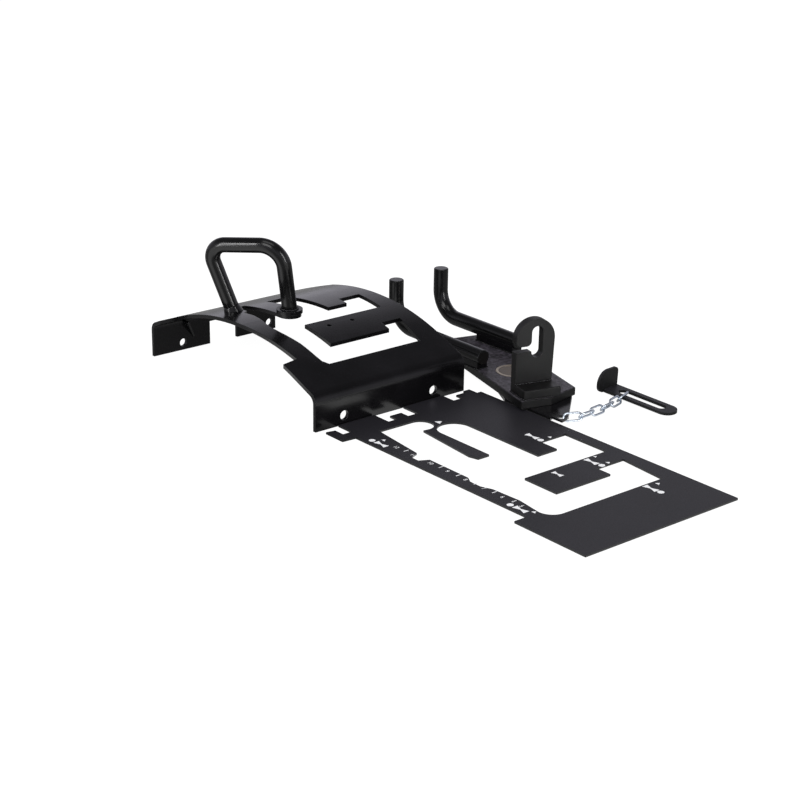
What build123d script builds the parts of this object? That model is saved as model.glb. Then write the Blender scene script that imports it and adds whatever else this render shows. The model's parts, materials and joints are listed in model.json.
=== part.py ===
"""Hitch mounting kit laid out for fitting: arched bracket, gauge plate, swivel base, chain and keeper.

Millimetres, +Z up. X runs from the arched bracket towards the free front edge of the gauge plate.
The origin is the middle of the kit's footprint, on the surface it lies on. Plan positions below are
measured from the gauge plate's front left corner, which the SITE plane carries to its place.
"""
from build123d import *
from math import cos, radians, sin, tan
import os

# gauge plate
GAUGE_LENGTH = 364.5
GAUGE_WIDTH = 196.0
GAUGE_T = 2.0
GAUGE_BLOCK = 88.5        # length of the solid front block
RULER_EDGE_FRONT = 15.5   # outer edge of the ruler strip
RULER_EDGE_REAR = 13.0

# arched bracket
PLATE_T = 4.0
ARCH_FRONT = -366.0       # outer face of the front flange
ARCH_REAR = -657.0        # outer face of the rear flange
ARCH_RIGHT = 187.0
FRONT_TAB_LEFT = -8.0
REAR_EAR_LEFT = -11.3
REAR_EAR_RIGHT = 152.3
EAR_GAP = (62.3, 99.0)
EAR_GAP_TOP = 26.0
CROWN_X = -512.0
CROWN_Z = 70.6
CROWN_FRONT_R = 312.0     # of the arch's curve ahead of its top
CROWN_REAR_R = 328.0
FRONT_SLOPE = 21.0        # degrees
REAR_SLOPE = 24.2
FRONT_BEND_R = 13.0
REAR_BEND_R = 11.0
FRONT_HOLE_R = 5.1
FRONT_HOLE_Z = 10.0
FRONT_HOLES = (28.0, 144.6)
REAR_HOLE_R = 4.4
REAR_HOLE_Z = 8.5
REAR_HOLES = (26.7, 143.5)

# bail handle, a bent round bar
BAIL_R = 8.1
BAIL_LEFT_FOOT = (-566.4, 33.9, 67.0)
BAIL_LEFT_TOP = (-583.0, 14.1, 138.8)
BAIL_RIGHT_TOP = (-511.0, 58.5, 146.5)
BAIL_RIGHT_FOOT = (-515.5, 71.4, 74.6)
COLLAR_R = 14.0
COLLAR_T = 5.0

# swivel base, turned about the vertical
BASE_TURN = -15.5         # degrees
BASE_REAR = -527.5
BASE_FRONT = -321.0
BASE_LEFT = 107.4
BASE_RIGHT = 179.2
BASE_UNDERSIDE = 4.4
BASE_TOP = 13.0
RAIL_W = 7.0
RAIL_INSET = 13.0         # of the left rail from the plate's edge
RAIL_FRONT = -432.0       # short of the swivel arm's sweep
PIVOT_U = -405.5
PIVOT_V = 142.6
BUSHING_R = 19.7
RING_R = 19.2             # above the groove round the bushing
PIN_R = 16.5
FIT = 0.05                # radial clearance of a running fit
CLEAR = 0.3

# hook lug and the block it stands on
FOOT_TOP = 23.0
LUG_REAR = -352.0
FOOT_FRONT = -322.0
LUG_T = 9.5
LUG_LEFT = 110.7
LUG_RIGHT = 152.8
LUG_SHOULDER = 154.8      # right edge where the lug's round top starts
LUG_TOP = 91.5

# upturned rods
ROD_R = 8.2
ROD_AXIS_Z = 25.6
ROD_BEND_R = 28.5
LEFT_ROD_Y = 224.0
RIGHT_ROD_Y = 288.5
SADDLE_W = 14.0

# swivel arm under the base
ARM_T = BASE_UNDERSIDE - CLEAR
ARM_ROOT_R = 24.0
ARM_NOSE = (-257.0, 196.5)
ARM_NOSE_R = 26.2
ARM_SHOULDER = (-300.0, 240.0)
ARM_SHOULDER_R = 29.0
ARM_LEFT = GAUGE_WIDTH + 2.0
EYE = (-238.6, 205.2)     # hole in the nose for the chain
EYE_R = 4.7
EYE_TAB_R = 11.0
EYE_Z = 3.1               # underside of the nose's thinned end
EYE_T = 2.2

# chain and keeper
WIRE_R = 1.15
LINK_W = 10.5
LINK_PITCH = 16.8
LINK_SLACK = 0.5
LINK_TILT = 52.0
LINK_HEADINGS = (66, 92, 96, 101, 106, 110)    # degrees from +X
CHAIN_START = (-237.0, 208.5)
KEEPER_T = 3.0
KEEPER_TIP = (-182.0, 299.6)
KEEPER_TURN = 3.8         # degrees
KEEPER_LENGTH = 88.5
KEEPER_W = 23.2
KEEPER_SLOT_W = 10.9
KEEPER_SLOT = (-73.0, -12.6)    # ends of the slot, from the tip
KEEPER_HEIGHT = 23.8
KEEPER_RIGHT = 322.0

# the origin is the middle of the footprint
SITE_X = -ARCH_REAR / 2
SITE_Y = -(REAR_EAR_LEFT + KEEPER_RIGHT) / 2
SITE = Plane(origin=(SITE_X, SITE_Y, 0))
BASE = SITE.rotated((0, 0, BASE_TURN))


def spot(x, y, z=0.0):
    """A point measured from the gauge plate's corner, in the kit's own frame."""
    return Vector(x + SITE_X, y + SITE_Y, z)


def side_plane(y):
    """Upright plane along X at a distance y from the gauge plate's left edge, facing -Y."""
    return Plane(origin=spot(0, y), x_dir=(1, 0, 0), z_dir=(0, -1, 0))


def front_plane(x):
    """Upright plane along Y at a distance x from the gauge plate's front edge, facing +X."""
    return Plane(origin=spot(x, 0), x_dir=(0, 1, 0), z_dir=(1, 0, 0))


def save(piece, name):
    piece.label = name
    export_step(piece, f"parts/{name}.step")


os.makedirs("parts", exist_ok=True)


# arched bracket

def crown_point(angle, crown_r, inset):
    """Point of the crown's arc, angle degrees forward of its top."""
    radius = crown_r - inset
    return (CROWN_X + radius * sin(radians(angle)), CROWN_Z - crown_r + radius * cos(radians(angle)))


def slope_height(x, slope, crown_r, inset):
    """Height at x of the straight run that leaves the crown's arc at the slope angle."""
    rise = (crown_r - inset) / cos(radians(slope)) - abs(x - CROWN_X) * tan(radians(slope))
    return CROWN_Z - crown_r + rise


def arch_profile(inset):
    """Side view of the arch filled down to the floor, inset by a part of the plate's thickness."""
    front = ARCH_FRONT - inset
    rear = ARCH_REAR + inset
    top = (CROWN_X, CROWN_Z - inset)
    front_corner = (front, slope_height(front, FRONT_SLOPE, CROWN_FRONT_R, inset))
    rear_corner = (rear, slope_height(rear, REAR_SLOPE, CROWN_REAR_R, inset))
    front_tangent = crown_point(FRONT_SLOPE, CROWN_FRONT_R, inset)
    rear_tangent = crown_point(-REAR_SLOPE, CROWN_REAR_R, inset)
    with BuildSketch(side_plane(ARCH_RIGHT)) as profile:
        with BuildLine():
            ThreePointArc(front_tangent, crown_point(FRONT_SLOPE / 2, CROWN_FRONT_R, inset), top)
            ThreePointArc(top, crown_point(-REAR_SLOPE / 2, CROWN_REAR_R, inset), rear_tangent)
            Polyline(rear_tangent, rear_corner, (rear, 0), (front, 0), front_corner, front_tangent)
        make_face()
        fillet(profile.vertices().group_by(Axis.X)[0].sort_by(Axis.Y)[-1], REAR_BEND_R - inset)
        fillet(profile.vertices().group_by(Axis.X)[-1].sort_by(Axis.Y)[-1], FRONT_BEND_R - inset)
    return profile.sketch


ARCH_WIDTH = ARCH_RIGHT - REAR_EAR_LEFT

with BuildPart() as arch_envelope:
    extrude(arch_profile(0), amount=ARCH_WIDTH)

with BuildPart() as arch_frame:
    extrude(arch_profile(0), amount=ARCH_WIDTH)
    extrude(arch_profile(PLATE_T), amount=ARCH_WIDTH, mode=Mode.SUBTRACT)
    # outside of the plan outline: left waist, the flanges' own ends, right rear taper
    with BuildSketch(SITE) as outside:
        with BuildLine():
            Polyline((-300, -40), (-300, FRONT_TAB_LEFT), (-419, FRONT_TAB_LEFT), (-422, 11),
                     (-512, 7), (-640, 6.5), (-640, -40), close=True)
        make_face()
        with BuildLine():
            Polyline((-590, 240), (-590, ARCH_RIGHT), (-640, 155), (-640, REAR_EAR_RIGHT),
                     (-700, REAR_EAR_RIGHT), (-700, 240), close=True)
        make_face()
    extrude(amount=CROWN_Z + 1, mode=Mode.SUBTRACT)
    # one C-shaped opening: left slot, front window, rear window and the slot beside the rear tab
    with BuildSketch(SITE) as opening:
        with BuildLine():
            Polyline((-515.5, 59), (-580, 59), (-580, 46), (-552, 42), (-547, 35), (-530, 35.5),
                     (-515, 33), (-491, 27.3), (-474, 28.4), (-444, 32.4), (-419, 33), (-410, 33.8),
                     (-404, 38.5), (-404, 158.5), (-446, 165), (-446, 140), (-432.5, 139.5),
                     (-432.5, 62), (-476.5, 62), (-476.5, 164), (-521, 169), (-520.5, 141),
                     (-504, 139), (-504, 114), (-575, 113.5), (-575, 84), (-515.5, 84))
            ThreePointArc((-515.5, 84), (-503, 71.5), (-515.5, 59))
        make_face()
    extrude(amount=CROWN_Z + 1, mode=Mode.SUBTRACT)
    # gap between the rear flange's two ears
    with BuildSketch(SITE):
        with Locations((ARCH_REAR, sum(EAR_GAP) / 2)):
            Rectangle(40, EAR_GAP[1] - EAR_GAP[0])
    extrude(amount=EAR_GAP_TOP, mode=Mode.SUBTRACT)
    for x, holes, z, radius in ((ARCH_FRONT, FRONT_HOLES, FRONT_HOLE_Z, FRONT_HOLE_R),
                                (ARCH_REAR + PLATE_T, REAR_HOLES, REAR_HOLE_Z, REAR_HOLE_R)):
        with BuildSketch(front_plane(x)):
            with Locations(*[(y, z) for y in holes]):
                Circle(radius)
        extrude(amount=-PLATE_T, mode=Mode.SUBTRACT)
    # two small holes in the tongue
    with BuildSketch(SITE):
        with Locations((-463.9, 84.3), (-463.9, 114.7)):
            Circle(2.5)
    extrude(amount=CROWN_Z + 1, mode=Mode.SUBTRACT)
save(arch_frame.part, "arch_frame")


def round_bar(points, bend_radii, radius):
    """A round bar bent through the points, with one bend radius for each inner point."""
    with BuildPart() as bar:
        with BuildLine() as run:
            FilletPolyline(*points, radius=bend_radii)
        with BuildSketch(run.line ^ 0):
            Circle(radius)
        sweep(path=run.line)
    return bar.part


# the left foot runs on into the plate and is cut off along its surface
foot_run = (spot(*BAIL_LEFT_FOOT) - spot(*BAIL_LEFT_TOP)).normalized() * 2 * BAIL_R
with BuildPart() as bail_handle:
    add(round_bar([spot(*BAIL_LEFT_FOOT) + foot_run, spot(*BAIL_LEFT_TOP), spot(*BAIL_RIGHT_TOP),
                   spot(*BAIL_RIGHT_FOOT)], [16, 24], BAIL_R))
    add(arch_envelope.part, mode=Mode.SUBTRACT)
save(bail_handle.part, "bail_handle")

with BuildPart() as handle_collar:
    with BuildSketch(SITE.offset(BAIL_RIGHT_FOOT[2] - COLLAR_T)):
        with Locations(BAIL_RIGHT_FOOT[:2]):
            Circle(COLLAR_R)
    extrude(amount=COLLAR_T)
    add(arch_envelope.part, mode=Mode.SUBTRACT)
    add(bail_handle.part, mode=Mode.SUBTRACT)
save(handle_collar.part, "handle_collar")

with BuildPart() as handle_weld:
    with BuildSketch(Plane(origin=spot(*BAIL_LEFT_FOOT) + foot_run / 2, z_dir=-foot_run)):
        Circle(BAIL_R + 4)
    extrude(amount=2 * BAIL_R, taper=16)
    add(arch_envelope.part, mode=Mode.SUBTRACT)
    add(bail_handle.part, mode=Mode.SUBTRACT)
save(handle_weld.part.solids().sort_by(Axis.Z)[-1], "handle_weld")

# thin slanted rib in the rear flange's inside corner, deepest under the plate
GUSSET_T = 2.4
GUSSET_REACH = 12.0
GUSSET_H = 27.5
GUSSET_LEAN = 34.0        # degrees from upright
gusset_plane = Plane(origin=spot(ARCH_REAR + PLATE_T, 41.5, 12), x_dir=(1, 0, 0),
                     z_dir=(0, -cos(radians(GUSSET_LEAN)), -sin(radians(GUSSET_LEAN))))
with BuildPart() as flange_gusset:
    with BuildSketch(gusset_plane):
        with BuildLine():
            Polyline((0, 0), (0, GUSSET_H), (GUSSET_REACH, GUSSET_H), close=True)
        make_face()
    extrude(amount=GUSSET_T / 2, both=True)
    add(arch_frame.part, mode=Mode.SUBTRACT)
save(flange_gusset.part.solids().sort_by(SortBy.VOLUME)[-1], "flange_gusset")


# gauge plate

with BuildPart() as gauge_plate:
    with BuildSketch(SITE) as sheet:
        with BuildLine():
            Polyline((0, 0), (0, GAUGE_WIDTH), (-349, GAUGE_WIDTH), (-349, 190.5), (-361.5, 190.5),
                     (-361.5, 182), (-GAUGE_LENGTH, 182), (-GAUGE_LENGTH, 19), (-342.5, 19),
                     (-342.5, 8), (-355, 8), (-357, -2.5),
                     (-330, -2.5), (-329, RULER_EDGE_REAR), (-GAUGE_BLOCK, RULER_EDGE_FRONT),
                     (-GAUGE_BLOCK, 0),
                     close=True)
        make_face()
        # rear edge notches round the bracket's feet
        with Locations((-353, 84)):
            Rectangle(23, 38, mode=Mode.SUBTRACT)
        with Locations((-356.75, 169)):
            Rectangle(20.5, 26, mode=Mode.SUBTRACT)
        with Locations((-347, 83)):
            Rectangle(11.5, 15)
        with Locations((-350.5, 175.5)):
            Rectangle(13, 15)
        # ruler window: round rear slot, tapered bar, second round slot, stepped windows and tongue
        with BuildLine():
            Line((-327.5, 41.5), (-327.5, 84))
            ThreePointArc((-327.5, 84), (-314.25, 97.25), (-301, 84))
            Polyline((-301, 84), (-302, 76.6), (-226, 69.1), (-215.5, 72), (-215.5, 86.4), (-286, 86.4))
            ThreePointArc((-286, 86.4), (-304, 104.4), (-286, 122.4))
            Polyline((-286, 122.4), (-186, 122.4), (-186, 148), (-209.5, 148), (-209.5, 182),
                     (-153, 182), (-153, 73.4), (-110.4, 73.4), (-110.4, 144), (-128.8, 144),
                     (-128.8, 180), (-74, 175), (-74, 46))
            ThreePointArc((-74, 46), (-79, 35), (-90, 31))
            Polyline((-90, 31), (-118, 35), (-152, 33), (-164, 28.3), (-178, 28.3), (-186, 33),
                     (-241, 33), (-246, 23), (-257, 23), (-261, 34), (-327.5, 41.5))
        make_face(mode=Mode.SUBTRACT)
        fillet(sheet.vertices(), 0.5)
    extrude(amount=GAUGE_T)
save(gauge_plate.part, "gauge_plate")


# swivel base

with BuildPart() as base_plate:
    with BuildSketch(BASE.offset(BASE_UNDERSIDE)) as plate_outline:
        with BuildLine():
            Polyline((BASE_REAR, BASE_LEFT), (BASE_FRONT, BASE_LEFT), (BASE_FRONT, 142),
                     (-338, BASE_RIGHT), (BASE_REAR, BASE_RIGHT), close=True)
        make_face()
        with Locations((PIVOT_U, PIVOT_V)):
            Circle(BUSHING_R, mode=Mode.SUBTRACT)
    extrude(amount=BASE_TOP - BASE_UNDERSIDE)
    chamfer(base_plate.faces().sort_by(Axis.Z)[-1].outer_wire().edges(), 0.8)
save(base_plate.part, "base_plate")

rails = {
    "base_rail_left": ((BASE_REAR + RAIL_FRONT) / 2, BASE_LEFT + RAIL_INSET + RAIL_W / 2,
                       RAIL_FRONT - BASE_REAR, RAIL_W),
    "base_rail_right": ((BASE_REAR + RAIL_FRONT) / 2, BASE_RIGHT - RAIL_W / 2,
                        RAIL_FRONT - BASE_REAR, RAIL_W),
    "base_rail_rear": (BASE_REAR + RAIL_W / 2, (BASE_LEFT + RAIL_INSET + BASE_RIGHT) / 2, RAIL_W,
                       BASE_RIGHT - BASE_LEFT - RAIL_INSET - 2 * RAIL_W),
}
for name, (u, v, length, width) in rails.items():
    with BuildPart() as rail:
        with BuildSketch(BASE):
            with Locations((u, v)):
                Rectangle(length, width)
        extrude(amount=BASE_UNDERSIDE)
    save(rail.part, name)

# the bushing's ring stands a little proud of the plate, inside a shallow groove
GROOVE_DEPTH = 1.0
RING_PROUD = 0.3
with BuildPart() as pivot_bushing:
    for radius, height in ((BUSHING_R, BASE_TOP - GROOVE_DEPTH), (RING_R, BASE_TOP + RING_PROUD)):
        with BuildSketch(BASE.offset(BASE_UNDERSIDE)):
            with Locations((PIVOT_U, PIVOT_V)):
                Circle(radius)
                Circle(PIN_R + FIT, mode=Mode.SUBTRACT)
        extrude(amount=height - BASE_UNDERSIDE)
save(pivot_bushing.part, "pivot_bushing")

with BuildPart() as lug_foot:
    with BuildSketch(BASE.offset(BASE_TOP)):
        with Locations(((LUG_REAR + FOOT_FRONT) / 2, (LUG_LEFT + LUG_RIGHT) / 2)):
            Rectangle(FOOT_FRONT - LUG_REAR, LUG_RIGHT - LUG_LEFT)
    extrude(amount=FOOT_TOP - BASE_TOP)
    chamfer(lug_foot.faces().sort_by(Axis.Z)[-1].edges(), 0.8)
save(lug_foot.part, "lug_foot")

LUG_R = (LUG_SHOULDER - LUG_LEFT) / 2
SLOT_LEFT = 128.2
SLOT_RIGHT = 141.1
SLOT_BOTTOM = 49.8
SLOT_TOP = 83.4
MOUTH_BOTTOM = 56.8
MOUTH_TOP = 62.8
FINGER_R = 5.5
with BuildPart() as hook_lug:
    with BuildSketch(Plane(origin=BASE.from_local_coords(Vector(LUG_REAR, 0, 0)),
                           x_dir=BASE.y_dir, z_dir=BASE.x_dir)) as lug_face:
        with BuildLine():
            Polyline((LUG_LEFT, LUG_TOP - LUG_R), (LUG_LEFT, FOOT_TOP), (LUG_RIGHT, FOOT_TOP),
                     (LUG_SHOULDER, LUG_TOP - LUG_R))
            ThreePointArc((LUG_SHOULDER, LUG_TOP - LUG_R), (LUG_LEFT + LUG_R, LUG_TOP),
                          (LUG_LEFT, LUG_TOP - LUG_R))
        make_face()
        with Locations(((SLOT_LEFT + SLOT_RIGHT) / 2, (SLOT_BOTTOM + SLOT_TOP) / 2)):
            SlotOverall(SLOT_TOP - SLOT_BOTTOM, SLOT_RIGHT - SLOT_LEFT, rotation=90, mode=Mode.SUBTRACT)
        with Locations(((LUG_LEFT + SLOT_LEFT) / 2, (MOUTH_BOTTOM + MOUTH_TOP) / 2)):
            Rectangle(SLOT_LEFT - LUG_LEFT + 0.2, MOUTH_TOP - MOUTH_BOTTOM, mode=Mode.SUBTRACT)
        finger = lug_face.vertices().filter_by_position(Axis.Y, MOUTH_TOP - 0.1, MOUTH_TOP + 0.1)
        fillet(finger, FINGER_R)
    extrude(amount=LUG_T)
save(hook_lug.part, "hook_lug")


def upturned_rod(y, end_x, upright_x, top_z, name):
    """A round rod lying along X whose rear end is bent upright."""
    rod = round_bar([spot(end_x, y, ROD_AXIS_Z), spot(upright_x, y, ROD_AXIS_Z),
                     spot(upright_x, y, top_z)], [ROD_BEND_R], ROD_R)
    with BuildPart() as bar:
        add(rod)
        chamfer(bar.faces().filter_by(GeomType.PLANE).edges(), 0.8)
    save(bar.part, name)
    return rod


def saddle(rod, rear, front, y, name):
    """Welded block under a rod, hollowed to the rod's round."""
    with BuildPart() as block:
        with BuildSketch(SITE.offset(BASE_TOP)):
            with Locations(((rear + front) / 2, y)):
                Rectangle(front - rear, SADDLE_W)
        extrude(amount=ROD_AXIS_Z - ROD_R / 2 - BASE_TOP)
        add(rod, mode=Mode.SUBTRACT)
    save(block.part, name)


left_rod = upturned_rod(LEFT_ROD_Y, -377, -523, 76.7, "rod_left")
right_rod = upturned_rod(RIGHT_ROD_Y, -392, -522, 78.5, "rod_right")
saddle(left_rod, -425, -379, LEFT_ROD_Y, "saddle_left")
saddle(right_rod, -452, -394, RIGHT_ROD_Y, "saddle_right")


# swivel arm

PIVOT = BASE.from_local_coords(Vector(PIVOT_U, PIVOT_V, 0)) - spot(0, 0)


def arm_outline():
    """The swivel arm in plan, clear of the gauge plate."""
    with BuildSketch(SITE) as outline:
        for middle, radius in (((PIVOT.X, PIVOT.Y), ARM_ROOT_R), (ARM_NOSE, ARM_NOSE_R),
                               (ARM_SHOULDER, ARM_SHOULDER_R)):
            with Locations(middle):
                Circle(radius)
        make_hull()
        with Locations((-300, ARM_LEFT - 100)):
            Rectangle(300, 200, mode=Mode.SUBTRACT)
    return outline.sketch


with BuildPart() as swivel_arm:
    with BuildSketch(SITE):
        add(SITE.to_local_coords(arm_outline()))
        with Locations(EYE):
            Circle(EYE_TAB_R, mode=Mode.SUBTRACT)
    extrude(amount=ARM_T)
    chamfer(swivel_arm.faces().sort_by(Axis.Z)[-1].outer_wire().edges(), 0.4)
save(swivel_arm.part, "swivel_arm")

with BuildPart() as pivot_pin:
    with BuildSketch(SITE.offset(ARM_T)):
        with Locations((PIVOT.X, PIVOT.Y)):
            Circle(PIN_R)
    extrude(amount=BASE_TOP - ARM_T)
save(pivot_pin.part, "pivot_pin")


# chain and keeper

LINK_L = LINK_PITCH + LINK_SLACK + 4 * WIRE_R
LINK_END_R = LINK_W / 2 - WIRE_R
LINK_LEG = LINK_L - LINK_W
LINK_Z = WIRE_R + LINK_END_R * sin(radians(LINK_TILT))

with BuildPart() as link:
    for end in (-1, 1):
        with BuildSketch(Plane.YZ.offset(end * LINK_LEG / 2)):
            with Locations((end * LINK_END_R, 0)):
                Circle(WIRE_R)
        extrude(amount=-end * LINK_LEG)
        with BuildSketch(Plane.YZ.offset(end * LINK_LEG / 2)):
            with Locations((end * LINK_END_R, 0)):
                Circle(WIRE_R)
        revolve(axis=Axis((end * LINK_LEG / 2, 0, 0), (0, 0, 1)), revolution_arc=-180)

# each link starts where the one before ends, rolled the other way
link_start = Vector(*CHAIN_START)
for n, heading in enumerate(LINK_HEADINGS, 1):
    step = Vector(cos(radians(heading)), sin(radians(heading))) * LINK_PITCH
    middle = link_start + step / 2
    roll = LINK_TILT if n % 2 else -LINK_TILT
    place = Location(spot(middle.X, middle.Y, LINK_Z), (0, 0, heading)) * Location((0, 0, 0), (roll, 0, 0))
    save(link.part.moved(place), f"chain_link_{n}")
    link_start += step

# thinned end of the swivel arm's nose, its rim passing through the first link
with BuildPart() as chain_eye:
    with BuildSketch(SITE.offset(EYE_Z)):
        add(SITE.to_local_coords(arm_outline()))
        with Locations(EYE):
            Circle(EYE_TAB_R, mode=Mode.INTERSECT)
            Circle(EYE_R, mode=Mode.SUBTRACT)
    extrude(amount=EYE_T)
save(chain_eye.part, "chain_eye")

# the keeper rests on its tip and on the last link, which goes round its near leg
leg_run = KEEPER_TIP[0] - middle.X
keeper_tilt = (2 * WIRE_R + 0.15) / leg_run
blade_dir = Vector(cos(radians(KEEPER_TURN)), sin(radians(KEEPER_TURN)), 0)
KEEPER_PLANE = Plane(origin=spot(*KEEPER_TIP), x_dir=blade_dir - Vector(0, 0, keeper_tilt),
                     z_dir=blade_dir * keeper_tilt + Vector(0, 0, 1))
TAB_LEFT = -8.0
TAB_RIGHT = 22.0
with BuildPart() as keeper:
    with BuildSketch(KEEPER_PLANE) as blade:
        with Locations((-KEEPER_LENGTH / 2, KEEPER_W / 2)):
            Rectangle(KEEPER_LENGTH, KEEPER_W)
        fillet(blade.vertices().group_by(Axis.X)[-1], KEEPER_W / 2 - 0.5)
        with Locations((sum(KEEPER_SLOT) / 2, KEEPER_W / 2)):
            SlotOverall(KEEPER_SLOT[1] - KEEPER_SLOT[0], KEEPER_SLOT_W, mode=Mode.SUBTRACT)
    extrude(amount=KEEPER_T)
    with BuildSketch(Plane(origin=KEEPER_PLANE.from_local_coords(Vector(-KEEPER_LENGTH, 0, 0)),
                           x_dir=KEEPER_PLANE.y_dir, z_dir=KEEPER_PLANE.x_dir)) as tab:
        with Locations(((TAB_LEFT + TAB_RIGHT) / 2, KEEPER_HEIGHT / 2)):
            Rectangle(TAB_RIGHT - TAB_LEFT, KEEPER_HEIGHT)
        top_left = tab.vertices().group_by(Axis.Y)[-1].sort_by(Axis.X)[0]
        fillet(top_left, 14)
        fillet(tab.vertices().group_by(Axis.Y)[-1].sort_by(Axis.X)[-1], 5)
        fillet(tab.vertices().group_by(Axis.Y)[0].sort_by(Axis.X)[0], 7.5)
    extrude(amount=KEEPER_T)
save(keeper.part, "keeper")
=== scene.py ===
import bpy
import json
import math
from mathutils import Matrix, Vector


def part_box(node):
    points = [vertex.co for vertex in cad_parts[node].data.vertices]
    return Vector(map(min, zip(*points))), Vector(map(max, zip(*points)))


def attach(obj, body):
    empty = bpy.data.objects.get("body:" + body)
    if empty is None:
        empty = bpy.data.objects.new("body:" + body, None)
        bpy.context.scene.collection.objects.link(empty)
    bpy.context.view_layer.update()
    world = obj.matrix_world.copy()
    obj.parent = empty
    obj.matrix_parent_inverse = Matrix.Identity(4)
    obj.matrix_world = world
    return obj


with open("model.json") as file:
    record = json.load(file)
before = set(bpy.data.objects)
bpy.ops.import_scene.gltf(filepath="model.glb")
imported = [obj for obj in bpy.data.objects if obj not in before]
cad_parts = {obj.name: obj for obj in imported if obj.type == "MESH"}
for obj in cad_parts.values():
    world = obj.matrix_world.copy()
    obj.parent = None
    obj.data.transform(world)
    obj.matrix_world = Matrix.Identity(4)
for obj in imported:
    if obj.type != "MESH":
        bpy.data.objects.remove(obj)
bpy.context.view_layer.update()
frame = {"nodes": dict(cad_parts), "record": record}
mm = 0.001
gaugeSize = {"width": 196.0}
# front left corner of the gauge plate: places are measured from it
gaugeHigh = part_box("gauge_plate")[1]
gaugeCorner = Vector((gaugeHigh[0], gaugeHigh[1] - gaugeSize["width"] * mm, 0))
print("frame loaded")


def hexToLinear(code):
    parts = [int(code[i:i + 2], 16) / 255 for i in (1, 3, 5)]
    return [c / 12.92 if c <= 0.04045 else ((c + 0.055) / 1.055) ** 2.4 for c in parts] + [1.0]


def addNode(tree, kind, settings=None, links=None):
    # settings are node properties or socket values, links are a source for each socket,
    # and a socket is given by its name or its number
    node = tree.nodes.new(kind)
    for key, value in (settings or {}).items():
        if isinstance(key, str) and hasattr(node, key) and key not in node.inputs:
            setattr(node, key, value)
        else:
            node.inputs[key].default_value = value
    for key, source in (links or {}).items():
        tree.links.new(source, node.inputs[key])
    return node


def perMetre(sizeMm):
    # noise scale that gives features of about this size
    return 1000 / sizeMm


def newMaterial(name):
    material = bpy.data.materials.new(name)
    material.use_nodes = True
    tree = material.node_tree
    shader = tree.nodes["Principled BSDF"]
    place = addNode(tree, "ShaderNodeTexCoord").outputs["Object"]
    return material, tree, shader, place


# coats of the plates and bars, one set of values for each
blackCoat = {"dark": "#050505", "light": "#0c0b0e", "roughLow": 0.14, "roughHigh": 0.26,
             "cloudMm": 35, "peelMm": 2.4, "speckMm": 0.7, "speckDepth": 0.15, "edgeMm": 0.7}
barEnamel = {"dark": "#070707", "light": "#0f0f10", "roughLow": 0.12, "roughHigh": 0.22,
             "cloudMm": 35, "peelMm": 3.0, "speckMm": 0.9, "speckDepth": 0.15, "edgeMm": 0.7}
lugCoat = {"dark": "#030303", "light": "#0a0a0a", "roughLow": 0.28, "roughHigh": 0.6,
           "cloudMm": 35, "peelMm": 3.5, "speckMm": 1.6, "speckDepth": 0.9, "edgeMm": 0.7}


def powderCoat(name, values):
    # baked powder coat, sprayed on bent plate: deep black, glossy, a slight orange peel
    material, tree, shader, place = newMaterial(name)
    cloud = addNode(tree, "ShaderNodeTexNoise", {"Scale": perMetre(values["cloudMm"]), "Detail": 4.0},
                    {"Vector": place})
    peel = addNode(tree, "ShaderNodeTexNoise", {"Scale": perMetre(values["peelMm"]), "Detail": 2.0},
                   {"Vector": place})
    speck = addNode(tree, "ShaderNodeTexNoise", {"Scale": perMetre(values["speckMm"]), "Detail": 1.0},
                    {"Vector": place})
    tint = addNode(tree, "ShaderNodeMix", {"data_type": "RGBA", 6: hexToLinear(values["dark"]),
                   7: hexToLinear(values["light"])}, {0: cloud.outputs["Fac"]})
    rough = addNode(tree, "ShaderNodeMapRange", {"From Min": 0.3, "From Max": 0.7,
                    "To Min": values["roughLow"], "To Max": values["roughHigh"]},
                    {"Value": cloud.outputs["Fac"]})
    edge = addNode(tree, "ShaderNodeBevel", {"samples": 4, "Radius": values["edgeMm"] * mm})
    peelBump = addNode(tree, "ShaderNodeBump", {"Strength": 0.25, "Distance": 0.06 * mm},
                       {"Height": peel.outputs["Fac"], "Normal": edge.outputs["Normal"]})
    bump = addNode(tree, "ShaderNodeBump", {"Strength": values["speckDepth"], "Distance": 0.03 * mm},
                   {"Height": speck.outputs["Fac"], "Normal": peelBump.outputs["Normal"]})
    tree.links.new(tint.outputs[2], shader.inputs["Base Color"])
    tree.links.new(rough.outputs["Result"], shader.inputs["Roughness"])
    tree.links.new(bump.outputs["Normal"], shader.inputs["Normal"])
    shader.inputs["Specular IOR Level"].default_value = 0.3
    return material


# the last colour of each coat is painted shade, put on its side walls in place of the shade that falls
# there
sheetCoat = {"dark": "#17161a", "light": "#1f1e23", "roughLow": 0.42, "roughHigh": 0.55,
             "grainMm": 0.9, "cloudMm": 60, "cloudLow": 0.0, "cloudHigh": 1.0, "shadedWall": "#09090a"}
# the base's coat is mottled, and its light tone is painted sheen on the flat top, where the plate
# catches the light
baseCoat = {"dark": "#18171a", "light": "#454149", "roughLow": 0.34, "roughHigh": 0.55,
            "grainMm": 1.6, "cloudMm": 3.5, "cloudLow": 0.36, "cloudHigh": 0.64, "shadedWall": "#050505"}


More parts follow.
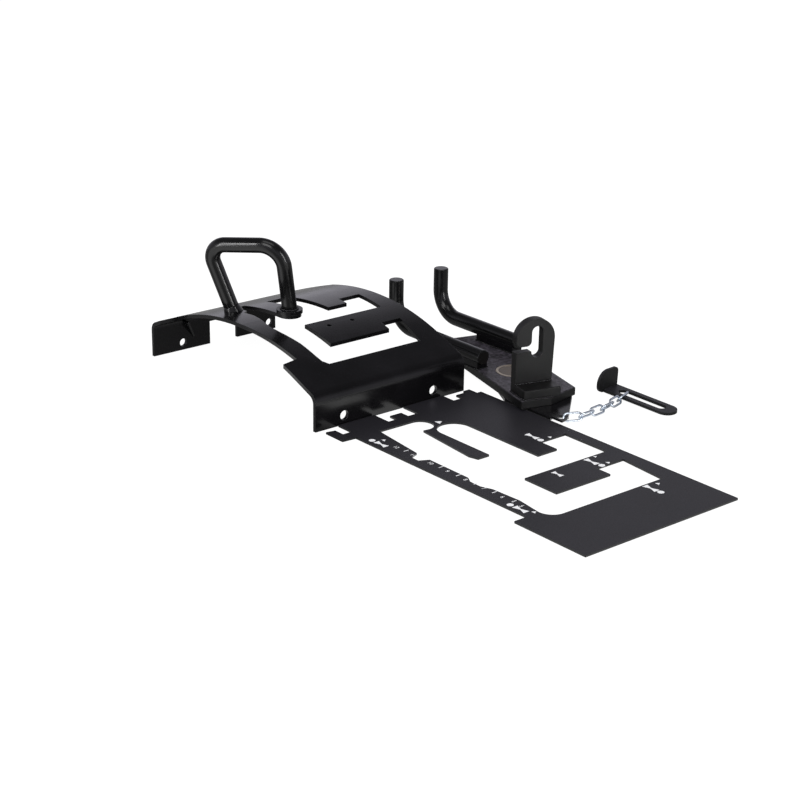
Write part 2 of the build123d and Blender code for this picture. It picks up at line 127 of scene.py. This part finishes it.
def satinCoat(name, values):
    # thin satin coat on flat laser-cut sheet: even, slightly blue-grey where it catches light
    material, tree, shader, place = newMaterial(name)
    cloud = addNode(tree, "ShaderNodeTexNoise", {"Scale": perMetre(values["cloudMm"]), "Detail": 5.0},
                    {"Vector": place})
    grain = addNode(tree, "ShaderNodeTexNoise", {"Scale": perMetre(values["grainMm"]), "Detail": 3.0},
                    {"Vector": place})
    patches = addNode(tree, "ShaderNodeMapRange", {"From Min": values["cloudLow"],
                      "From Max": values["cloudHigh"]}, {"Value": cloud.outputs["Fac"]})
    tint = addNode(tree, "ShaderNodeMix", {"data_type": "RGBA", 6: hexToLinear(values["dark"]),
                   7: hexToLinear(values["light"])}, {0: patches.outputs["Result"]})
    rough = addNode(tree, "ShaderNodeMapRange", {"From Min": 0.3, "From Max": 0.7,
                    "To Min": values["roughLow"], "To Max": values["roughHigh"]},
                    {"Value": grain.outputs["Fac"]})
    edge = addNode(tree, "ShaderNodeBevel", {"samples": 4, "Radius": 0.4 * mm})
    bump = addNode(tree, "ShaderNodeBump", {"Strength": 0.12, "Distance": 0.03 * mm},
                   {"Height": grain.outputs["Fac"], "Normal": edge.outputs["Normal"]})
    # painted shade: the walls are painted deep black, and only the faces that lie flat keep the coat's
    # tint
    facing = addNode(tree, "ShaderNodeTexCoord").outputs["Normal"]
    upward = addNode(tree, "ShaderNodeSeparateXYZ", {}, {"Vector": facing}).outputs["Z"]
    wallShadeMask = addNode(tree, "ShaderNodeMapRange", {"From Min": 0.3, "From Max": 0.9}, {"Value": upward})
    shade = addNode(tree, "ShaderNodeMix", {"data_type": "RGBA", 6: hexToLinear(values["shadedWall"])},
                    {0: wallShadeMask.outputs["Result"], 7: tint.outputs[2]})
    tree.links.new(shade.outputs[2], shader.inputs["Base Color"])
    tree.links.new(rough.outputs["Result"], shader.inputs["Roughness"])
    tree.links.new(bump.outputs["Normal"], shader.inputs["Normal"])
    shader.inputs["Specular IOR Level"].default_value = 0.3
    return material


zincPlate = {"bright": "#dfe6ee", "dull": "#a9b4c0", "patchMm": 3.0, "roughLow": 0.24,
             "roughHigh": 0.42}


def brightZinc(name, values):
    # bright zinc plating on round wire: pale, slightly blue, cloudy
    material, tree, shader, place = newMaterial(name)
    cloud = addNode(tree, "ShaderNodeTexNoise", {"Scale": perMetre(values["patchMm"]), "Detail": 3.0},
                    {"Vector": place})
    tint = addNode(tree, "ShaderNodeMix", {"data_type": "RGBA", 6: hexToLinear(values["dull"]),
                   7: hexToLinear(values["bright"])}, {0: cloud.outputs["Fac"]})
    rough = addNode(tree, "ShaderNodeMapRange", {"From Min": 0.3, "From Max": 0.7,
                    "To Min": values["roughLow"], "To Max": values["roughHigh"]},
                    {"Value": cloud.outputs["Fac"]})
    tree.links.new(tint.outputs[2], shader.inputs["Base Color"])
    tree.links.new(rough.outputs["Result"], shader.inputs["Roughness"])
    shader.inputs["Metallic"].default_value = 1.0
    return material


turnedBronze = {"light": "#d8cdbb", "dark": "#a89c8b", "ringMm": 0.8, "cloudMm": 8, "rough": 0.32}


def turnedMetal(name, values, centre):
    # metal faced on a lathe: fine rings about its axis
    material, tree, shader, place = newMaterial(name)
    centred = addNode(tree, "ShaderNodeMapping", {"Location": [-c for c in centre]}, {"Vector": place})
    rings = addNode(tree, "ShaderNodeTexWave", {"wave_type": "RINGS", "rings_direction": "Z",
                    "Scale": perMetre(values["ringMm"]) / 20, "Distortion": 0.6},
                    {"Vector": centred.outputs[0]})
    cloud = addNode(tree, "ShaderNodeTexNoise", {"Scale": perMetre(values["cloudMm"]), "Detail": 3.0},
                    {"Vector": place})
    tint = addNode(tree, "ShaderNodeMix", {"data_type": "RGBA", 6: hexToLinear(values["dark"]),
                   7: hexToLinear(values["light"])}, {0: cloud.outputs["Fac"]})
    bump = addNode(tree, "ShaderNodeBump", {"Strength": 0.2, "Distance": 0.02 * mm},
                   {"Height": rings.outputs["Fac"]})
    tree.links.new(tint.outputs[2], shader.inputs["Base Color"])
    tree.links.new(bump.outputs["Normal"], shader.inputs["Normal"])
    shader.inputs["Metallic"].default_value = 1.0
    shader.inputs["Roughness"].default_value = values["rough"]
    return material


pinFace = {"clean": "#8a8079", "grease": "#2b2724", "patchMm": 4.0, "roughLow": 0.35, "roughHigh": 0.65}


def greasedPin(name, values):
    # end of a plain steel pin, browned and blotched with old grease
    material, tree, shader, place = newMaterial(name)
    blotch = addNode(tree, "ShaderNodeTexNoise", {"Scale": perMetre(values["patchMm"]), "Detail": 5.0},
                     {"Vector": place})
    tint = addNode(tree, "ShaderNodeMix", {"data_type": "RGBA", 6: hexToLinear(values["grease"]),
                   7: hexToLinear(values["clean"])}, {0: blotch.outputs["Fac"]})
    rough = addNode(tree, "ShaderNodeMapRange", {"From Min": 0.35, "From Max": 0.65,
                    "To Min": values["roughLow"], "To Max": values["roughHigh"]},
                    {"Value": blotch.outputs["Fac"]})
    bump = addNode(tree, "ShaderNodeBump", {"Strength": 0.3, "Distance": 0.05 * mm},
                   {"Height": blotch.outputs["Fac"]})
    tree.links.new(tint.outputs[2], shader.inputs["Base Color"])
    tree.links.new(rough.outputs["Result"], shader.inputs["Roughness"])
    tree.links.new(bump.outputs["Normal"], shader.inputs["Normal"])
    shader.inputs["Metallic"].default_value = 0.6
    return material


whiteInk = {"worn": "#bfc0c4", "fresh": "#f0f0f2", "wearMm": 1.2}


def screenPrint(name, values):
    # screen-printed white ink, flat and slightly worn
    material, tree, shader, place = newMaterial(name)
    wear = addNode(tree, "ShaderNodeTexNoise", {"Scale": perMetre(values["wearMm"]), "Detail": 3.0},
                   {"Vector": place})
    tint = addNode(tree, "ShaderNodeMix", {"data_type": "RGBA", 6: hexToLinear(values["worn"]),
                   7: hexToLinear(values["fresh"])}, {0: wear.outputs["Fac"]})
    tree.links.new(tint.outputs[2], shader.inputs["Base Color"])
    shader.inputs["Roughness"].default_value = 0.7
    return material


bushingLow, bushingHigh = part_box("pivot_bushing")
bushingCentre = (Vector(bushingLow) + Vector(bushingHigh)) / 2
glossBlack = powderCoat("black powder coat", blackCoat)
barBlack = powderCoat("glossy bar enamel", barEnamel)
satinBlack = satinCoat("satin black sheet coat", sheetCoat)
# the base plate's coat: its pale top tone is painted sheen
baseBlack = satinCoat("base coat with painted sheen", baseCoat)
lugBlack = powderCoat("coarse coat on the lug", lugCoat)
zinc = brightZinc("bright zinc plate", zincPlate)
bronze = turnedMetal("turned bronze", turnedBronze, bushingCentre)
steel = greasedPin("greased pin face", pinFace)
whitePrint = screenPrint("white screen print", whiteInk)
finishes = {"gloss_black": glossBlack, "satin_black": satinBlack, "zinc": zinc, "bronze": bronze,
            "steel": steel}

# these pieces have a coat of their own in place of their slot's
ownFinish = {"base_plate": baseBlack, "bail_handle": barBlack, "rod_left": barBlack,
             "rod_right": barBlack, "hook_lug": lugBlack, "lug_foot": lugBlack}
for part in frame["record"]["subparts"]:
    cadObject = frame["nodes"][part["node"]]
    for slot in cadObject.material_slots:
        slot.material = ownFinish.get(part["node"], finishes[part["material_slot"]])
print("finishes set")


def fromGauge(x, y, z=0.0):
    # a place in mm from the gauge plate's front left corner
    return gaugeCorner + Vector((x, y, z)) * mm


def makePiece(name, points, faces, material, body, edges=()):
    mesh = bpy.data.meshes.new(name)
    mesh.from_pydata(points, edges, faces)
    piece = bpy.data.objects.new(name, mesh)
    bpy.context.collection.objects.link(piece)
    if material:
        mesh.materials.append(material)
    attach(piece, body)
    return piece


def newTree(name, inputs):
    # a geometry tree with named inputs, and its group input and output nodes
    tree = bpy.data.node_groups.new(name, "GeometryNodeTree")
    tree.interface.new_socket("Geometry", in_out="INPUT", socket_type="NodeSocketGeometry")
    for label, kind in inputs:
        tree.interface.new_socket(label, in_out="INPUT", socket_type=kind)
    tree.interface.new_socket("Geometry", in_out="OUTPUT", socket_type="NodeSocketGeometry")
    return tree, addNode(tree, "NodeGroupInput"), addNode(tree, "NodeGroupOutput")


def bake(piece, tree, values):
    # run the tree once on the piece and keep the result as a plain mesh
    modifier = piece.modifiers.new(tree.name, "NODES")
    modifier.node_group = tree
    for item in tree.interface.items_tree:
        if item.in_out == "INPUT" and item.name in values:
            modifier[item.identifier] = values[item.name]
    bpy.context.view_layer.update()
    result = bpy.data.meshes.new_from_object(piece.evaluated_get(bpy.context.evaluated_depsgraph_get()))
    piece.modifiers.remove(modifier)
    piece.data = result


# mm: height of the ink over the floor, then sizes and rows along the ruler edge
printing = {"height": 2.06, "tickLength": 6.0, "tickWidth": 1.1, "tickRow": 29.5, "numberSize": 6.5,
            "numberRow": 25.6, "firstNumber": 12, "tieLength": 15.5, "tieWidth": 7.0, "dotRadius": 3.3}


def printShape(name, corners):
    # flat inked shape, its corners in mm from the gauge plate's corner
    points = [fromGauge(x, y, printing["height"]) for x, y in corners]
    return makePiece(name, points, [tuple(range(len(points)))], whitePrint, "gauge")


def printDisc(name, x, y, radius):
    turns = [2 * math.pi * n / 20 for n in range(20)]
    return printShape(name, [(x + radius * math.cos(a), y + radius * math.sin(a)) for a in turns])


def printTie(name, x, y, length, width):
    # two arrowheads point to point, marking a place to measure from
    half, side, waist = length / 2, width / 2, width / 9
    return printShape(name, [(x - half, y - side), (x, y - waist), (x + half, y - side),
                             (x + half, y + side), (x, y + waist), (x - half, y + side)])


def printTriangle(name, x, y, size):
    foot, top = y - size * 0.7, y + size * 0.8
    return printShape(name, [(x - size, foot), (x + size, foot), (x, top)])


# each tie with its dot: middle of the tie, then middle of the dot
callouts = [(-299.2, 20.9, -312.3, 20.2), (-224.6, 151.3, -212.4, 151.1),
            (-143.0, 151.3, -130.5, 152.6), (-64.4, 149.2, -52.6, 150.0), (-103.4, 21.9, -116.4, 21.4)]
for n, (tieX, tieY, dotX, dotY) in enumerate(callouts, 1):
    printTie(f"print_tie_{n}", tieX, tieY, printing["tieLength"], printing["tieWidth"])
    printDisc(f"print_dot_{n}", dotX, dotY, printing["dotRadius"])
# triangles that point at an edge: middle and half width
pointers = [(-305.8, 30.2, 2.6), (-212.3, 164.2, 2.4), (-149.7, 163.4, 2.2), (-131.6, 162.7, 2.6),
            (-67.7, 162.8, 2.6), (-91.6, 27.8, 2.6), (-309.5, 104.2, 4.2)]
for n, (x, y, size) in enumerate(pointers, 1):
    printTriangle(f"print_pointer_{n}", x, y, size)
printTie("print_tie_small", -141.2, 104.7, 12.0, 6.0)
numberPlaces = [-284.5, -259.1, -233.9, -209.4, -184.0, -158.7, -133.5, -108.1]
for n, x in enumerate(numberPlaces):
    curve = bpy.data.curves.new(f"print_number_{n}", "FONT")
    curve.body = str(printing["firstNumber"] - n)
    curve.size = printing["numberSize"] * mm
    curve.align_x = "CENTER"
    writing = bpy.data.objects.new(curve.name, curve)
    bpy.context.collection.objects.link(writing)
    bpy.context.view_layer.update()
    graph = bpy.context.evaluated_depsgraph_get()
    letters = bpy.data.meshes.new_from_object(writing.evaluated_get(graph))
    bpy.data.objects.remove(writing)
    letters.transform(Matrix.Translation(fromGauge(x, printing["numberRow"], printing["height"])))
    letters.materials.clear()
    letters.materials.append(whitePrint)
    number = bpy.data.objects.new(f"print_number_{curve.body}", letters)
    bpy.context.collection.objects.link(number)
    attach(number, "gauge")

tickTree, tickIn, tickOut = newTree("ruler ticks", [("Width", "NodeSocketFloat"),
                                    ("Length", "NodeSocketFloat"), ("Ink", "NodeSocketMaterial")])
bar = addNode(tickTree, "GeometryNodeMeshGrid", {"Vertices X": 2, "Vertices Y": 2},
              {"Size X": tickIn.outputs["Width"], "Size Y": tickIn.outputs["Length"]})
tickRow = addNode(tickTree, "GeometryNodeInstanceOnPoints", {}, {"Points": tickIn.outputs["Geometry"],
                  "Instance": bar.outputs["Mesh"]})
tickReal = addNode(tickTree, "GeometryNodeRealizeInstances", {},
                   {"Geometry": tickRow.outputs["Instances"]})
tickInk = addNode(tickTree, "GeometryNodeSetMaterial", {}, {"Geometry": tickReal.outputs["Geometry"],
                  "Material": tickIn.outputs["Ink"]})
tickTree.links.new(tickInk.outputs["Geometry"], tickOut.inputs["Geometry"])
tickPlaces = [-271.8, -246.4, -220.6, -195.9, -171.3, -146.1, -120.1]
tickPoints = [fromGauge(x, printing["tickRow"], printing["height"]) for x in tickPlaces]
ticks = makePiece("print_ticks", tickPoints, [], None, "gauge")
bake(ticks, tickTree, {"Width": printing["tickWidth"] * mm, "Length": printing["tickLength"] * mm,
                       "Ink": whitePrint})
print("print set")

# beads overlap like coins: their spacing and radius in mm, then the spread of their shapes
weld = {"spacing": 1.5, "bead": 1.25, "seed": 7, "smallest": (0.85, 0.85, 0.75),
        "largest": (1.15, 1.15, 1.0)}
beadTree, beadIn, beadOut = newTree("weld beads", [("Spacing", "NodeSocketFloat"),
                                    ("Bead", "NodeSocketFloat"), ("Seed", "NodeSocketInt"),
                                    ("Coat", "NodeSocketMaterial")])
seamLine = addNode(beadTree, "GeometryNodeMeshToCurve", {}, {"Mesh": beadIn.outputs["Geometry"]})
steps = addNode(beadTree, "GeometryNodeResampleCurve", {}, {"Curve": seamLine.outputs["Curve"]})
if "Mode" in steps.inputs:
    steps.inputs["Mode"].default_value = "Length"
else:
    steps.mode = "LENGTH"
beadTree.links.new(beadIn.outputs["Spacing"], steps.inputs["Length"])
drop = addNode(beadTree, "GeometryNodeMeshIcoSphere", {"Subdivisions": 2},
               {"Radius": beadIn.outputs["Bead"]})
sizes = addNode(beadTree, "FunctionNodeRandomValue", {"data_type": "FLOAT_VECTOR", 0: weld["smallest"],
                1: weld["largest"]}, {"Seed": beadIn.outputs["Seed"]})
beadRow = addNode(beadTree, "GeometryNodeInstanceOnPoints", {}, {"Points": steps.outputs["Curve"],
                  "Instance": drop.outputs["Mesh"], "Scale": sizes.outputs[0]})
beadReal = addNode(beadTree, "GeometryNodeRealizeInstances", {},
                   {"Geometry": beadRow.outputs["Instances"]})
beadCoat = addNode(beadTree, "GeometryNodeSetMaterial", {}, {"Geometry": beadReal.outputs["Geometry"],
                   "Material": beadIn.outputs["Coat"]})
beadTree.links.new(beadCoat.outputs["Geometry"], beadOut.inputs["Geometry"])


def weldAlong(name, points, body):
    # a row of overlapping beads along the joint through the points
    edges = [(n, n + 1) for n in range(len(points) - 1)]
    piece = makePiece(name, points, [], None, body, edges)
    bake(piece, beadTree, {"Spacing": weld["spacing"] * mm, "Bead": weld["bead"] * mm,
                           "Seed": weld["seed"], "Coat": glossBlack})
    for polygon in piece.data.polygons:
        polygon.use_smooth = True


baseTurn = math.radians(-15.5)  # how the swivel base lies


def onBase(u, v, z):
    # a place in mm along and across the swivel base
    return fromGauge(u * math.cos(baseTurn) - v * math.sin(baseTurn),
                     u * math.sin(baseTurn) + v * math.cos(baseTurn), z)


def ring(centre, radius, z, count=36):
    x, y = centre
    turns = [2 * math.pi * n / count for n in range(count + 1)]
    return [fromGauge(x + radius * math.cos(a), y + radius * math.sin(a), z) for a in turns]


# heights in mm of the joints: on the plate, at the lug's foot and round the collar
seam = {"plate": 13.2, "lug": 23.2, "collar": 75.0, "collarPlace": (-515.5, 71.0), "collarRadius": 9.0}
plate, lug = seam["plate"], seam["lug"]
weldAlong("weld_foot_front", [onBase(-322, 111, plate), onBase(-322, 143, plate)], "swivel_base")
weldAlong("weld_foot_left", [onBase(-351, 110.5, plate), onBase(-323, 110.5, plate)], "swivel_base")
weldAlong("weld_lug_front", [onBase(-342.3, 111.5, lug), onBase(-342.3, 152, lug)], "swivel_base")
weldAlong("weld_saddle_left", [fromGauge(-425, 216.6, plate), fromGauge(-379, 216.6, plate),
                               fromGauge(-378.6, 231, plate)], "swivel_base")
weldAlong("weld_saddle_right", [fromGauge(-452, 281.1, plate), fromGauge(-394, 281.1, plate)],
          "swivel_base")
weldAlong("weld_collar", ring(seam["collarPlace"], seam["collarRadius"], seam["collar"]),
          "arch_bracket")
print("welds set")

scene = bpy.context.scene
scene.view_settings.view_transform = "Standard"

# metres: half the floor's side, and its drop under the object
ground = {"half": 9.0, "drop": 0.0004, "colour": "#fbfbfb"}
half, under = ground["half"], -ground["drop"]
floorMesh = bpy.data.meshes.new("floor")
floorMesh.from_pydata([(-half, -half, under), (half, -half, under), (half, half, under),
                       (-half, half, under)], [], [(0, 1, 2, 3)])
floor = bpy.data.objects.new("floor", floorMesh)
scene.collection.objects.link(floor)
floorMaterial = bpy.data.materials.new("pale floor")
floorMaterial.use_nodes = True
floorTree = floorMaterial.node_tree
floorShader = floorTree.nodes["Principled BSDF"]
floorShader.inputs["Base Color"].default_value = hexToLinear(ground["colour"])
floorShader.inputs["Roughness"].default_value = 1.0
floorShader.inputs["Specular IOR Level"].default_value = 0.0
# seen straight on, the floor is burnt out to white, with only a trace of shadow left
burnt = {"share": 0.86, "strength": 1.12}
# mirrored in the bars it shows as two white cards, each side of the viewer, on a grey ground
cards = {"bright": 1.7, "ground": 0.25, "centre": (-0.19, -0.08, 0), "turns": (-94, 6), "inner": 10,
         "outer": 30}
inner, outer = math.radians(cards["inner"]), math.radians(cards["outer"])
floorRays = addNode(floorTree, "ShaderNodeLightPath")
floorPlace = addNode(floorTree, "ShaderNodeTexCoord").outputs["Object"]
fromBars = addNode(floorTree, "ShaderNodeVectorMath", {"operation": "SUBTRACT", 1: cards["centre"]},
                   {0: floorPlace})
bearing = addNode(floorTree, "ShaderNodeVectorMath", {"operation": "NORMALIZE"},
                  {0: fromBars.outputs[0]})
shares = []
for cardTurn in cards["turns"]:
    angle = math.radians(cardTurn)
    toward = addNode(floorTree, "ShaderNodeVectorMath", {"operation": "DOT_PRODUCT",
                     1: (math.cos(angle), math.sin(angle), 0)}, {0: bearing.outputs[0]})
    card = addNode(floorTree, "ShaderNodeMapRange", {"From Min": math.cos(outer),
                   "From Max": math.cos(inner)}, {"Value": toward.outputs["Value"]})
    shares.append(card.outputs["Result"])
bothCards = addNode(floorTree, "ShaderNodeMath", {"operation": "ADD"}, {0: shares[0], 1: shares[1]})
mirrored = addNode(floorTree, "ShaderNodeMapRange", {"To Min": cards["ground"],
                   "To Max": cards["bright"]}, {"Value": bothCards.outputs[0]})
shown = addNode(floorTree, "ShaderNodeMix", {"data_type": "FLOAT", 2: burnt["strength"]},
                {0: floorRays.outputs["Is Glossy Ray"], 3: mirrored.outputs["Result"]})
straight = addNode(floorTree, "ShaderNodeMath", {"operation": "ADD"},
                   {0: floorRays.outputs["Is Camera Ray"], 1: floorRays.outputs["Is Glossy Ray"]})
seen = addNode(floorTree, "ShaderNodeMath", {"operation": "ADD", "use_clamp": True},
               {0: straight.outputs[0], 1: floorRays.outputs["Is Transmission Ray"]})
share = addNode(floorTree, "ShaderNodeMath", {"operation": "MULTIPLY", 1: burnt["share"]},
                {0: seen.outputs[0]})
glow = addNode(floorTree, "ShaderNodeEmission", {}, {"Strength": shown.outputs[0]})
burning = addNode(floorTree, "ShaderNodeMixShader", {},
                  {0: share.outputs[0], 1: floorShader.outputs[0], 2: glow.outputs[0]})
floorTree.links.new(burning.outputs[0], floorTree.nodes["Material Output"].inputs["Surface"])
floorMesh.materials.append(floorMaterial)

# levels of the surroundings: on plain surfaces, then mirrored from overhead, from half way up
# and from the horizon behind the object
studio = {"skyTint": "#f6f4ff", "ambient": 0.62, "overhead": 0.14, "middle": 0.72, "horizon": 0.8,
          "behind": (-0.766, 0.643, 0)}
world = bpy.data.worlds.new("studio")
scene.world = world
world.use_nodes = True
worldTree = world.node_tree
background = worldTree.nodes["Background"]
rays = addNode(worldTree, "ShaderNodeLightPath")
direction = addNode(worldTree, "ShaderNodeTexCoord").outputs["Generated"]
height = addNode(worldTree, "ShaderNodeSeparateXYZ", {}, {"Vector": direction}).outputs["Z"]
away = addNode(worldTree, "ShaderNodeVectorMath", {"operation": "DOT_PRODUCT", 1: studio["behind"]},
               {0: direction})
behind = addNode(worldTree, "ShaderNodeMapRange", {"From Min": 0.1, "From Max": 0.8},
                 {"Value": away.outputs["Value"]})
low = addNode(worldTree, "ShaderNodeMapRange", {"From Min": 0.03, "From Max": 0.3, "To Min": 1.0,
              "To Max": 0.0}, {"Value": height})
bright = addNode(worldTree, "ShaderNodeMath", {"operation": "MULTIPLY"}, {0: behind.outputs["Result"],
                 1: low.outputs["Result"]})
upper = addNode(worldTree, "ShaderNodeMapRange", {"From Min": 0.3, "From Max": 0.65,
                "To Min": studio["middle"], "To Max": studio["overhead"]}, {"Value": height})
sky = addNode(worldTree, "ShaderNodeMapRange", {"To Max": studio["horizon"]},
              {"Value": bright.outputs[0], "To Min": upper.outputs["Result"]})
glossy = addNode(worldTree, "ShaderNodeMix", {"data_type": "FLOAT", 2: studio["ambient"]},
                 {0: rays.outputs["Is Glossy Ray"], 3: sky.outputs["Result"]})
strength = addNode(worldTree, "ShaderNodeMix", {"data_type": "FLOAT", 3: 1.0},
                   {0: rays.outputs["Is Camera Ray"], 2: glossy.outputs[0]})
worldTree.links.new(strength.outputs[0], background.inputs["Strength"])
skyTint = addNode(worldTree, "ShaderNodeMix", {"data_type": "RGBA", 6: hexToLinear("#ffffff"),
                  7: hexToLinear(studio["skyTint"])}, {0: rays.outputs["Is Glossy Ray"]})
worldTree.links.new(skyTint.outputs[2], background.inputs["Color"])


def softBox(name, values):
    # a rectangular lamp that looks at its target
    data = bpy.data.lights.new(name, "AREA")
    data.shape = "RECTANGLE"
    data.size, data.size_y = values["size"]
    data.energy = values["watts"]
    lamp = bpy.data.objects.new(name, data)
    lamp.location = values["place"]
    lamp.rotation_mode = "QUATERNION"
    gaze = Vector(values["target"]) - Vector(values["place"])
    lamp.rotation_quaternion = gaze.to_track_quat("-Z", "Y")
    scene.collection.objects.link(lamp)


lamps = {"key": {"place": (0.9, -1.6, 1.9), "target": (0, 0, 0), "size": (1.2, 1.2), "watts": 22.0},
         "fill": {"place": (0.1, -0.1, 2.4), "target": (0, 0, 0), "size": (1.4, 1.0), "watts": 9.0},
         "leftStrip": {"place": (-0.19, -2.19, 0.7), "target": (-0.1, 0, 0.1), "size": (0.25, 1.6),
                       "watts": 22.0},
         "rightStrip": {"place": (2.17, 0.38, 0.7), "target": (-0.1, 0, 0.1), "size": (0.25, 1.6),
                        "watts": 22.0}}
for lampName, values in lamps.items():
    softBox(lampName, values)

# place in mm from the gauge plate's corner, turns in degrees, focal length over a frame of 800
lens = {"fromGauge": (978.8, -1028.9, 673.7), "yaw": 139.99, "down": 20.72, "roll": 0.876,
        "focal": 1843.0, "frame": 800, "sensorMm": 36.0}
cameraData = bpy.data.cameras.new("camera")
camera = bpy.data.objects.new("camera", cameraData)
scene.collection.objects.link(camera)
scene.camera = camera
yaw, down = math.radians(lens["yaw"]), math.radians(lens["down"])
level = math.cos(down)
forward = Vector((level * math.cos(yaw), level * math.sin(yaw), -math.sin(down)))
aim = forward.to_track_quat("-Z", "Y").to_matrix().to_4x4()
turn = Matrix.Rotation(math.radians(lens["roll"]), 4, "Z")
camera.matrix_world = Matrix.Translation(gaugeCorner + Vector(lens["fromGauge"]) * mm) @ aim @ turn
cameraData.sensor_width = lens["sensorMm"]
cameraData.lens = lens["focal"] * lens["sensorMm"] / lens["frame"]
cameraData.clip_end = 100
print("studio ready")
